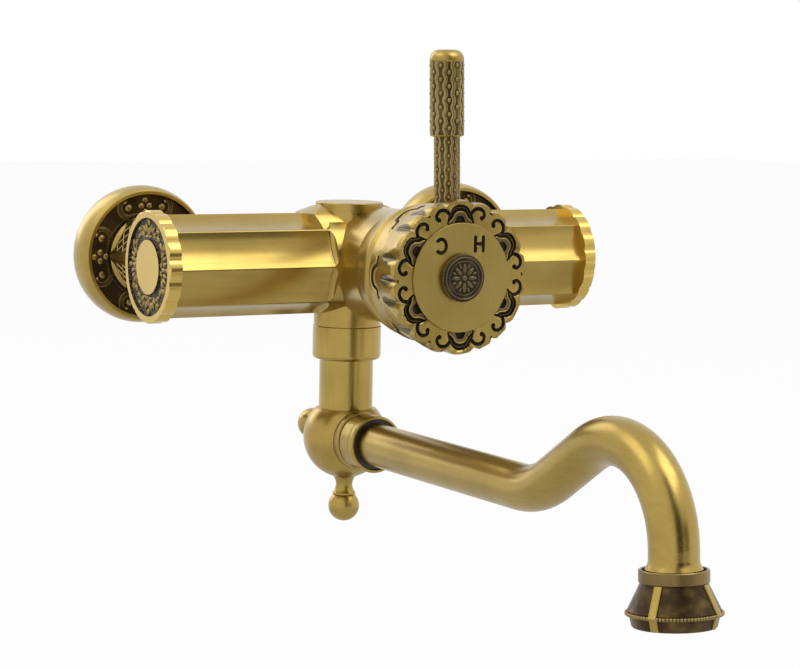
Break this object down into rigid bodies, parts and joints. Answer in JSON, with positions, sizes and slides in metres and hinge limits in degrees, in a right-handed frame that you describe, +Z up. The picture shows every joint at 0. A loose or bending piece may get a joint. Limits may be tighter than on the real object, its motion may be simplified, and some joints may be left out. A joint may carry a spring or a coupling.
{
  "type": "wall-mounted basin faucet",
  "caption": "Wall-mounted basin mixer: a fluted bar on two eccentric wall unions, a lobed drum handle with an upright lever, and a swan-neck spout on a swivelling column.",
  "frame": {"origin": "on the finished wall face, midway between the axes of the two supply pipes and level with them", "axes": "+X to the right along the bar, +Y into the wall, +Z up; the spout and handle face -Y"},
  "size_m": [0.2072, 0.3302, 0.1948],
  "materials": {
    "aged_brass": "brushed satin antique brass with dark brown patina in the recesses",
    "raw_brass": "plain turned brass",
    "steel": "plain steel",
    "black_rubber": "matt rubber",
    "white_plastic": "moulded plastic",
    "dark_plastic": "dark moulded plastic",
    "ceramic": "lapped ceramic"
  },
  "bodies": {
    "mixer_body": {"eccentric_left": "raw_brass", "eccentric_right": "raw_brass", "wall_flange_left": "aged_brass", "wall_flange_right": "aged_brass", "union_nut_left": "aged_brass", "union_nut_right": "aged_brass", "union_gasket_left": "black_rubber", "union_gasket_right": "black_rubber", "strainer_left": "steel", "strainer_right": "steel", "inlet_tail_left": "raw_brass", "inlet_tail_right": "raw_brass", "end_cap_left": "aged_brass", "end_cap_right": "aged_brass", "end_cap_seal_left": "black_rubber", "end_cap_seal_right": "black_rubber", "body_casting": "aged_brass", "top_plug": "aged_brass", "top_plug_seal": "black_rubber", "cartridge_base": "white_plastic", "port_seals": "black_rubber", "fixed_disc": "ceramic", "cartridge_housing": "white_plastic", "retaining_nut": "raw_brass", "cartridge_shroud": "aged_brass", "spout_ring_nut": "aged_brass", "swivel_washer": "white_plastic"},
    "rotor": {"cartridge_rotor": "white_plastic", "pivot_pin": "steel"},
    "disc": {"moving_disc": "ceramic", "disc_carrier": "white_plastic"},
    "handle": {"cartridge_stem": "raw_brass", "handle_hub": "aged_brass", "face_plate": "aged_brass", "hub_screw": "steel", "index_cap": "aged_brass", "lever_rod": "aged_brass", "lever_grip": "aged_brass"},
    "spout": {"spout_column": "aged_brass", "spout_orings": "black_rubber", "spout_ball": "aged_brass", "arm_collar": "aged_brass", "collar_ring": "dark_plastic", "spout_tube": "aged_brass", "outlet_nipple": "aged_brass", "aerator_bell": "aged_brass", "aerator_washer": "black_rubber", "aerator_insert": "dark_plastic", "rear_finial": "aged_brass", "bottom_finial": "aged_brass"}
  },
  "joints": [
    {"name": "handle_turn", "type": "hinge", "parent": "mixer_body", "child": "rotor", "pos_m": [0, -0.0992, 0.0075], "axis": [0, 1, 0], "range_deg": [-50, 50]},
    {"name": "handle_tilt", "type": "hinge", "parent": "rotor", "child": "handle", "pos_m": [0, -0.0992, 0.0075], "axis": [1, 0, 0], "range_deg": [0, 20]},
    {"name": "disc_slide", "type": "slide", "parent": "rotor", "child": "disc", "axis": [0, 0, 1], "range_m": [-0.0001, 0.0021]},
    {"name": "spout_swivel", "type": "hinge", "parent": "mixer_body", "child": "spout", "pos_m": [-0.0088, -0.0652, -0.0645], "axis": [0, 0, 1], "range_deg": [-90, 90]}
  ],
  "couplings": [
    {"joint": "disc_slide", "follows": "handle_tilt", "m_per_rad": 0.0056}
  ]
}
